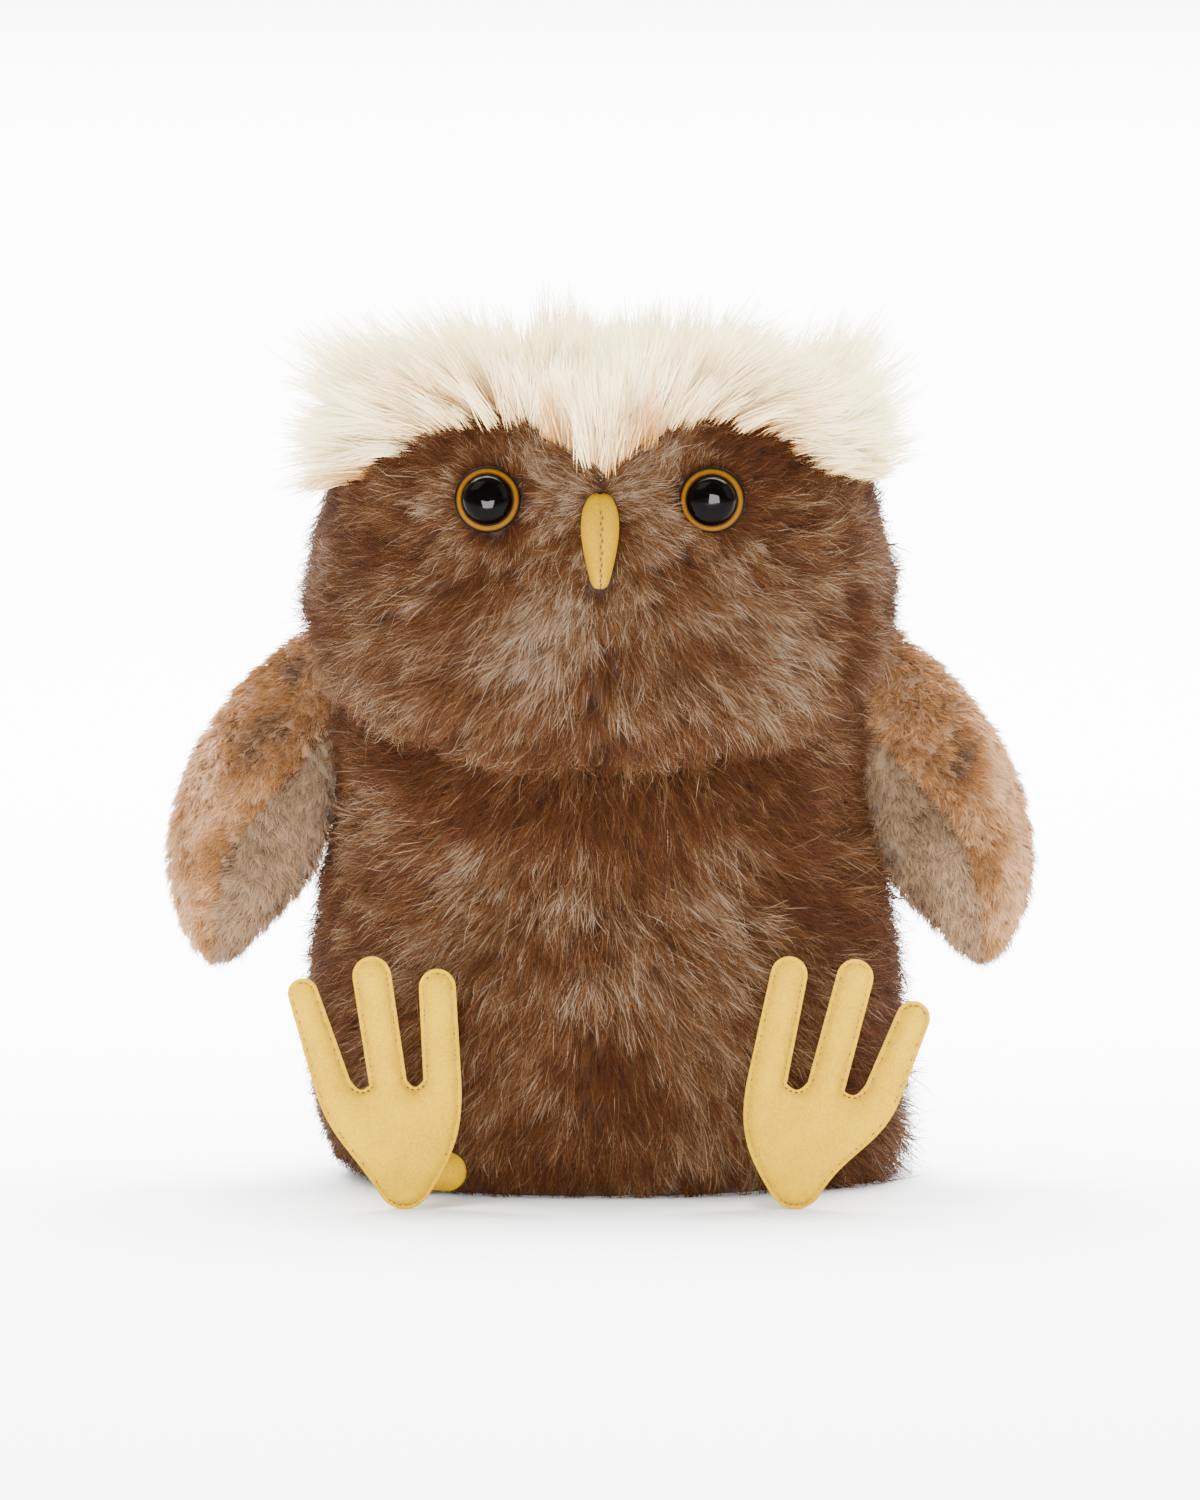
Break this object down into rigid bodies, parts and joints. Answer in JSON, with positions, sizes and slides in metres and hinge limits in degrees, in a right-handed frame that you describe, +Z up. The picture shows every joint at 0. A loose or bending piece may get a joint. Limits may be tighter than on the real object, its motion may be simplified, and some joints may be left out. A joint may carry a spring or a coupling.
{
  "type": "plush owl",
  "caption": "Sitting stuffed owl toy with a turning head under a pale crest, hanging wings that lift, and upright toed feet on short legs.",
  "frame": {"origin": "on the surface the owl sits on, under the middle of the torso", "axes": "+Z up, the owl faces -Y, +X towards its left wing, which is on the right seen from in front"},
  "size_m": [0.197, 0.1318, 0.1931],
  "materials": {
    "brown_fur": "long rust brown and taupe pile fabric",
    "cream_pile": "very long cream pile fabric",
    "tan_fur": "short dense tan pile fabric with dark mottles",
    "greige_fur": "short dense grey-beige pile fabric",
    "yellow_suede": "matt yellow microsuede",
    "amber_plastic": "glossy amber plastic",
    "black_plastic": "glossy black plastic",
    "white_plastic": "plain white plastic",
    "stuffing": "white polyester fibre",
    "pellet_cloth": "plain cloth pouch filled with pellets"
  },
  "bodies": {
    "torso": {"torso_front_left": "brown_fur", "torso_front_right": "brown_fur", "torso_back": "brown_fur", "base_panel": "brown_fur", "pellet_pouch": "pellet_cloth", "torso_stuffing": "stuffing"},
    "head": {"face_left": "brown_fur", "face_right": "brown_fur", "crest_left": "cream_pile", "crest_right": "cream_pile", "head_back_left": "brown_fur", "head_back_right": "brown_fur", "head_stuffing": "stuffing", "beak_left": "yellow_suede", "beak_right": "yellow_suede", "beak_stuffing": "stuffing", "eye_left_collar": "amber_plastic", "eye_right_collar": "amber_plastic", "eye_left_dome": "black_plastic", "eye_right_dome": "black_plastic", "eye_left_washer": "white_plastic", "eye_right_washer": "white_plastic"},
    "wing_left": {"wing_left_outer": "tan_fur", "wing_left_lining": "greige_fur", "wing_left_stuffing": "stuffing"},
    "wing_right": {"wing_right_outer": "tan_fur", "wing_right_lining": "greige_fur", "wing_right_stuffing": "stuffing"},
    "leg_left": {"leg_left_cover": "yellow_suede", "leg_left_stuffing": "stuffing"},
    "leg_right": {"leg_right_cover": "yellow_suede", "leg_right_stuffing": "stuffing"},
    "foot_left": {"foot_left_front": "yellow_suede", "foot_left_back": "yellow_suede", "foot_left_stuffing": "stuffing"},
    "foot_right": {"foot_right_front": "yellow_suede", "foot_right_back": "yellow_suede", "foot_right_stuffing": "stuffing"}
  },
  "joints": [
    {"name": "head_turn", "type": "hinge", "parent": "torso", "child": "head", "pos_m": [0, 0, 0.1226], "axis": [0, -0.4067, 0.9135], "range_deg": [-15, 15], "stiffness_Nm_per_rad": 0.15},
    {"name": "wing_left_flap", "type": "hinge", "parent": "torso", "child": "wing_left", "pos_m": [-0.05881, 0.01656, 0.12513], "axis": [0, 0.9135, 0.4067], "range_deg": [0, 45]},
    {"name": "wing_right_flap", "type": "hinge", "parent": "torso", "child": "wing_right", "pos_m": [0.05881, 0.01656, 0.12513], "axis": [0, -0.9135, -0.4067], "range_deg": [0, 45]},
    {"name": "leg_left_splay", "type": "hinge", "parent": "torso", "child": "leg_left", "pos_m": [-0.03172, -0.05362, 0.00656], "axis": [0, 0, -1], "range_deg": [-12, 20], "stiffness_Nm_per_rad": 0.02},
    {"name": "leg_right_splay", "type": "hinge", "parent": "torso", "child": "leg_right", "pos_m": [0.04309, -0.04779, 0.00652], "axis": [0, 0, 1], "range_deg": [-12, 20], "stiffness_Nm_per_rad": 0.02},
    {"name": "foot_left_rock", "type": "hinge", "parent": "leg_left", "child": "foot_left", "pos_m": [-0.0405, -0.06065, 0.0078], "axis": [1, 0, 0], "range_deg": [-8, 30], "stiffness_Nm_per_rad": 0.01},
    {"name": "foot_right_rock", "type": "hinge", "parent": "leg_right", "child": "foot_right", "pos_m": [0.0425, -0.06065, 0.0078], "axis": [1, 0, 0], "range_deg": [-8, 30], "stiffness_Nm_per_rad": 0.01}
  ]
}
